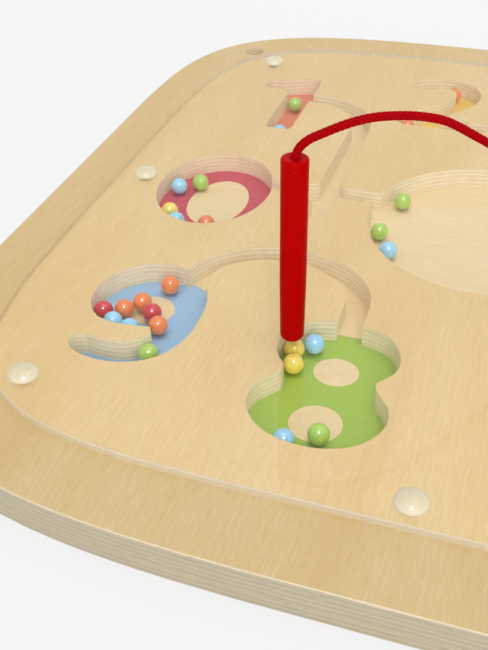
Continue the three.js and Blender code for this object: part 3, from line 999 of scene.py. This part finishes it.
@dataclass
class Prints:
    """All the printed numbers, each cut to its pocket's walls."""

    numbers: tuple[NumberPrint, ...]
    film: float = 0.08 * MM
    cutter: float = 4 * MM
    counter_sides: int = 72

    def field(self, number: NumberPrint, floor: float) -> bpy.types.Object:
        """A thin slab under a number's pocket.

        Args:
            number: The number.
            floor: Height of the lower panel's face.

        Returns:
            The mesh object.
        """
        bpy.ops.object.select_all(action="DESELECT")
        bpy.ops.mesh.primitive_cube_add(size=1.0)
        slab = newest(f"print_{number.name}")
        (left, near), (right, far) = number.low, number.high
        slab.scale = ((right - left) * MM, (far - near) * MM, self.film)
        slab.location = ((right + left) / 2 * MM, (far + near) / 2 * MM, floor + self.film / 2)
        settle(slab)
        if number.mouth:
            start, end = (Vector((x * MM, y * MM, floor)) for x, y in number.mouth)
            with editing(slab):
                bpy.ops.mesh.select_all(action="SELECT")
                bpy.ops.mesh.bisect(plane_co=start, plane_no=Vector((0, 0, 1)).cross(end - start),
                                    use_fill=True, clear_outer=True)
        return slab

    def plug(self, counter: Sequence[float], floor: float) -> bpy.types.Object:
        """A round cutter that leaves the wood bare inside a number.

        Args:
            counter: Its middle and its two radii.
            floor: Height of the lower panel's face.

        Returns:
            The mesh object.
        """
        bpy.ops.object.select_all(action="DESELECT")
        bpy.ops.mesh.primitive_cylinder_add(vertices=self.counter_sides, radius=1.0, depth=self.cutter)
        plug = newest("counter_cutter")
        plug.scale = (counter[2] * MM, counter[3] * MM, 1.0)
        plug.location = (counter[0] * MM, counter[1] * MM, floor)
        settle(plug)
        return plug

    def build(self) -> None:
        """Cut every field by the walls and its counters, and dress it."""
        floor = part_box("maze_panel")[0][2]
        walls = copy_of("maze_panel", "wall_cutter")
        # The walls reach below the film, so that they cut right through it.
        walls.data.transform(Matrix.Translation((0, 0, -self.cutter / 2)))
        for number in self.numbers:
            piece = self.field(number, floor)
            cutters = [walls] + [self.plug(counter, floor) for counter in number.counters]
            for cutter in cutters:
                modify(piece, "BOOLEAN", object=cutter, operation="DIFFERENCE", solver="EXACT")
            for cutter in cutters[1:]:
                bpy.data.objects.remove(cutter)
            ink = PrintFinish(f"ink_{number.name}", number.ink)
            place(piece, ink.material(), BOARD, "base_ply")
        bpy.data.objects.remove(walls)


@dataclass
class Cover:
    """The clear sheet that traps the beads."""

    finish: AcrylicFinish
    air: float = 0.06 * MM
    crease: float = 12.0

    def build(self) -> None:
        """Copy the sheet, lift its underside off the wood and let lamp light through it."""
        sheet = copy_of("cover_sheet", "clear_sheet")
        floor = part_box("cover_sheet")[0][2]
        with editing(sheet):
            bpy.ops.mesh.select_all(action="DESELECT")
        for corner in sheet.data.vertices:
            corner.select = corner.co.z < floor + self.air
        with editing(sheet):
            bpy.ops.transform.translate(value=(0, 0, self.air))
        smooth(sheet, self.crease)
        sheet.visible_shadow = False
        place(sheet, self.finish.material(), BOARD, "clear_cover", "cover_sheet")


@dataclass
class Fasteners:
    """Screws along the cover's edge, each under a cream dome."""

    dome: GlossFinish
    steel: SteelFinish
    count: int = 8
    skirt: float = 0.35 * MM
    trim: float = 0.22 * MM
    steps: int = 48
    dome_rings: int = 10

    def cap(self, radius: float, height: float) -> bpy.types.Object:
        """Turn one dome about the origin.

        Args:
            radius: Its outer radius.
            height: Its height.

        Returns:
            The mesh object.
        """
        rise = height - self.skirt
        rings = [(radius, 0.0), (radius, self.skirt)]
        for step in range(1, self.dome_rings):
            angle = math.pi / 2 * step / self.dome_rings
            rings.append((radius * math.cos(angle), self.skirt + rise * math.sin(angle)))
        rings.append((POLE, height))
        cap = turn("cap_pattern", rings, self.steps)
        smooth(cap, degrees=60)
        return cap

    def build(self) -> None:
        """Dress the screws and set a dome on each, which shows to the camera alone and casts no shade."""
        finish = self.dome.material()
        steel = self.steel.material()
        low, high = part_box("screw_cap_1")
        width = max(high[axis] - low[axis] for axis in (0, 1))
        pattern = self.cap(width / 2 - self.trim, high[2] - low[2])
        for rays in ("diffuse", "glossy", "transmission", "shadow"):
            setattr(pattern, f"visible_{rays}", False)
        for number in range(1, self.count + 1):
            low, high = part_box(f"screw_cap_{number}")
            spot = ((low[0] + high[0]) / 2, (low[1] + high[1]) / 2, low[2])
            dome = twin(pattern, f"dome_{number}", spot)
            place(dome, finish, BOARD, "cap_cream", f"screw_cap_{number}")
            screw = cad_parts[f"cover_screw_{number}"]
            screw.data.materials.clear()
            screw.data.materials.append(steel)
        bpy.data.objects.remove(pattern)


class BeadColour(Enum):
    """The beads' gloss paints."""

    RED = paint(201, 39, 44)
    ORANGE = paint(234, 127, 63)
    YELLOW = paint(242, 218, 96)
    GREEN = paint(168, 204, 84)
    BLUE = paint(154, 213, 245)


@dataclass
class Beads:
    """Painted balls, as they lie in the pockets."""

    colours: dict[str, str] = field(default_factory=lambda: {
        "zero": "blue green yellow blue orange", "one": "green blue", "two": "orange orange",
        "three": "yellow", "four": "blue red", "five": "orange green", "six": "red", "seven": "yellow",
        "eight": "yellow yellow blue blue green",
        "nine": "red orange orange red orange blue blue orange green",
        "tray": "green green blue orange blue",
    })
    cuts: int = 9
    roughness: float = 0.14

    def ball(self, radius: float) -> bpy.types.Object:
        """Round a cut-up cube into a ball about the origin.

        Args:
            radius: The ball's radius.

        Returns:
            The mesh object.
        """
        bpy.ops.object.select_all(action="DESELECT")
        bpy.ops.mesh.primitive_cube_add(size=radius)
        ball = newest("ball_pattern")
        with editing(ball):
            bpy.ops.mesh.select_all(action="SELECT")
            bpy.ops.mesh.subdivide(number_cuts=self.cuts)
        modify(ball, "CAST", cast_type="SPHERE", factor=1.0, size=radius, use_radius_as_size=False)
        smooth(ball, degrees=80)
        return ball

    def build(self) -> None:
        """Lay a ball in every bead's place."""
        finishes = {}
        for tone in BeadColour:
            name = tone.name.lower()
            gloss = GlossFinish(f"bead_paint_{name}", tone.value, self.roughness, coat=1.0)
            finishes[name] = gloss.material()
        low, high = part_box("bead_tray_1")
        pattern = self.ball((high[2] - low[2]) / 2)
        for pocket, row in self.colours.items():
            for number, colour in enumerate(row.split(), start=1):
                node = f"bead_{pocket}_{number}"
                low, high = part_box(node)
                middle = [(first + second) / 2 for first, second in zip(low, high)]
                ball = twin(pattern, f"ball_{pocket}_{number}", middle)
                place(ball, finishes[colour], node, f"bead_{colour}", node)
        bpy.data.objects.remove(pattern)


@dataclass
class Stopper:
    """A stopper knot, two turns of cord drawn tight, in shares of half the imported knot's height."""

    braid: BraidFinish
    turn_radius: float = 0.55
    turn_thickness: float = 0.42
    turn_sides: tuple[int, int] = (36, 18)
    squash: float = 0.8
    tilt: float = 0.5
    drop: float = 0.2
    voxel: float = 0.28 * MM
    yarn: tuple[float, float] = (4200.0, 3100.0)

    def tie(self, name: str, node: str, body: str) -> None:
        """Tie a knot in the place of a packed one.

        Args:
            name: The piece's name.
            node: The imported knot.
            body: The body that it rides on.
        """
        low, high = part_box(node)
        middle = Vector([(first + second) / 2 for first, second in zip(low, high)])
        reach = (high[2] - low[2]) / 2
        around, across = self.turn_sides
        bpy.ops.object.select_all(action="DESELECT")
        bpy.ops.mesh.primitive_torus_add(
            major_radius=reach * self.turn_radius, minor_radius=reach * self.turn_thickness,
            major_segments=around, minor_segments=across)
        knot = newest(name)
        with editing(knot):
            bpy.ops.mesh.select_all(action="SELECT")
            bpy.ops.transform.resize(value=(1, 1, self.squash))
            lift = {"value": (0, 0, reach * self.turn_thickness)}
            bpy.ops.mesh.duplicate_move(TRANSFORM_OT_translate=lift)
            bpy.ops.transform.rotate(value=self.tilt, orient_axis="X", center_override=(0, 0, 0))
            bpy.ops.mesh.select_all(action="SELECT")
            bpy.ops.transform.translate(value=(0, 0, -reach * self.drop))
        modify(knot, "REMESH", mode="VOXEL", voxel_size=self.voxel)
        modify(knot, "SMOOTH", factor=0.5, iterations=3)
        knot.data.transform(Matrix.Translation(middle))
        rise, run = self.yarn
        # The stripes drive the braid's painted groove shade across the smooth knot, which has no relief.
        strand_shade_stripes = [0.5 + 0.5 * math.sin(corner.co.z * rise + corner.co.x * run)
                 for corner in knot.data.vertices]
        strand = knot.data.attributes.new(self.braid.relief, "FLOAT", "POINT")
        strand.data.foreach_set("value", strand_shade_stripes)
        smooth(knot, degrees=80)
        place(knot, self.braid.material(), body, "cord_red", node)


@dataclass
class Wand:
    """Moulded wand with a separate top, a magnet in its foot and the cord's knot inside."""

    plastic: GlossFinish
    steel: SteelFinish
    braid: BraidFinish
    radius: float = 5.2 * MM
    foot_radius: float = 4.85 * MM
    foot_round: float = 2.2 * MM
    taper: float = 26.0 * MM
    rim: float = 0.8 * MM
    seam: float = 0.26 * MM
    wall: float = 1.2 * MM
    spigot_gap: float = 0.3 * MM
    cord_pass: float = 1.85 * MM
    mouth: float = 0.3 * MM
    foot_rings: int = 8
    rim_rings: int = 7
    mouth_rings: int = 5
    steps: int = 72

    def barrel(self, height: float) -> bpy.types.Object:
        """Turn the open tube.

        Args:
            height: Its height.

        Returns:
            The mesh object.
        """
        # The foot is a rounded rim, turned upside down.
        rounding = quarter_round(self.foot_round, self.foot_radius, 0.0, self.foot_rings)
        foot = [(radius, -depth) for radius, depth in reversed(rounding)]
        bore = self.radius - self.wall
        foot_bore = self.foot_radius - self.wall
        rings = [
            (POLE, 0.0), *foot, (self.radius, self.taper), (self.radius, height - self.seam),
            (self.radius - self.seam, height), (bore, height), (bore, self.taper),
            (foot_bore, self.wall + self.foot_round), (foot_bore, self.wall), (POLE, self.wall),
        ]
        return turn("wand_barrel", rings, self.steps)

    def top(self, foot: float, seat: float, height: float) -> bpy.types.Object:
        """Turn the wand's top round the cord's hole.

        Args:
            foot: Height of its spigot's end.
            seat: Height where it sits on the tube.
            height: Height of its flat.

        Returns:
            The mesh object.
        """
        spigot = self.radius - self.wall - self.spigot_gap
        rim = quarter_round(self.rim, self.radius, height, self.rim_rings)
        # The hole's mouth is a rounded rim, turned inside out.
        rounding = quarter_round(self.mouth, 0.0, height, self.mouth_rings)
        mouth = [(self.cord_pass - inset, level) for inset, level in reversed(rounding)]
        rings = [
            (self.cord_pass, foot), (spigot, foot), (spigot, seat), (self.radius - self.seam, seat),
            (self.radius, seat + self.seam), *rim, *mouth, (self.cord_pass, foot),
        ]
        return turn("wand_top", rings, self.steps, bored=True)

    def build(self) -> None:
        """Turn both mouldings, dress the magnet and tie the knots."""
        plastic = self.plastic.material()
        low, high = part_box("wand_tube")
        spot = Vector(((low[0] + high[0]) / 2, (low[1] + high[1]) / 2, low[2]))
        cap_low, cap_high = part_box("wand_cap")
        barrel = self.barrel(high[2] - low[2])
        top = self.top(cap_low[2] - low[2], high[2] - low[2], cap_high[2] - low[2])
        for piece, node in ((barrel, "wand_tube"), (top, "wand_cap")):
            piece.data.transform(Matrix.Translation(spot))
            smooth(piece, degrees=40)
            place(piece, plastic, WAND, "wand_red", node)
        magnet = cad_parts["wand_magnet"]
        magnet.data.materials.clear()
        magnet.data.materials.append(self.steel.material())
        stopper = Stopper(self.braid)
        stopper.tie("wand_stopper", "wand_knot", WAND)
        stopper.tie("rim_stopper", "board_knot", BOARD)


INK_CRIMSON = paint(184, 62, 78)
INK_CORAL = paint(206, 118, 86)
INK_YELLOW = paint(222, 186, 76)
INK_GREEN = paint(152, 181, 68)
INK_BLUE = paint(144, 179, 209)

NUMBER_PRINTS = (
    NumberPrint("zero", INK_CRIMSON, (-172, -42), (-111, 40), ((-138.6, 0.5, 15.3, 23.3),)),
    NumberPrint("one", INK_CORAL, (-160, 70), (-121.2, 152)),
    NumberPrint("two", INK_YELLOW, (-72, 95), (-24.5, 176)),
    NumberPrint("three", INK_GREEN, (25, 95), (72, 176)),
    NumberPrint("four", INK_BLUE, (104, 70), (160, 152)),
    NumberPrint("five", INK_CORAL, (116, -42), (172, 40)),
    NumberPrint("six", INK_CRIMSON, (104, -155), (162, -88), ((134.5, -126.5, 10.5, 10.5),)),
    NumberPrint("seven", INK_BLUE, (15, -174), (75, -96.5)),
    NumberPrint("eight", INK_GREEN, (-75, -174), (-15, -91.1),
                ((-45.4, -115.5, 9.4, 8.7), (-45.5, -147.4, 10.5, 10.3))),
    NumberPrint("nine", INK_BLUE, (-162, -155), (-104, -68), ((-134.5, -98.5, 10.5, 10.5),),
                ((-126.3, -72.8), (-117.4, -77.2))),
)


def main() -> None:
    """Build the camera and the cord first, then the board from the bottom up."""
    logging.basicConfig(level=logging.INFO, format="%(name)s: %(message)s")
    # The braid's groove colour is painted shade between its strands, and also darkens stray yarn.
    braid = BraidFinish("red_braid", crown=paint(200, 0, 11), groove_shade_and_dark_yarn=paint(128, 0, 5))
    steel = SteelFinish("plated_steel", paint(190, 192, 195), roughness=0.3)
    upper = PlyFinish(
        "upper_ply", Grain.ALONG_Y, veneer=paint(222, 197, 147), veneer_deep=paint(213, 183, 126),
        band_light=paint(244, 229, 194), band_dark=paint(232, 215, 180), glue=paint(182, 156, 118),
        fleck=paint(246, 238, 216), underside=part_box("maze_panel")[0][2], ply=1.13 * MM)
    # The rim's copy of the ply has darker bands: painted shade on the outer edge, against the pocket walls.
    rim = replace(
        upper, name="rim_ply_shaded", band_light=paint(198, 186, 158), band_dark=paint(186, 173, 146),
        glue=paint(142, 122, 92), fleck=paint(214, 205, 180))
    # The lower panel's edge keeps the rim's darker bands of painted shade.
    lower = replace(
        rim, name="lower_ply", grain=Grain.ALONG_X, veneer=paint(228, 208, 167),
        veneer_deep=paint(221, 197, 149), underside=0.0, ply=1.12 * MM)
    acrylic = AcrylicFinish(
        "clear_acrylic", tint=paint(255, 255, 255), edge=paint(228, 220, 203), tick=paint(244, 238, 224))
    # The dome's paler second colour is a painted glow on its sloping rim.
    cream = GlossFinish(
        "cream_dome", paint(230, 217, 182), roughness=0.22, coat=0.2, shine=0.4, painted_rim_glow=paint(249, 239, 213))
    moulding = GlossFinish("red_moulding", paint(190, 0, 1), roughness=0.3, shine=0.03, ripple=160.0)
    Studio().build()
    Tether(braid).build()
    Panels(upper, rim, lower).build()
    Prints(NUMBER_PRINTS).build()
    Beads().build()
    Cover(acrylic).build()
    Fasteners(cream, steel).build()
    Wand(moulding, steel, braid).build()


if __name__ == "__main__":
    main()
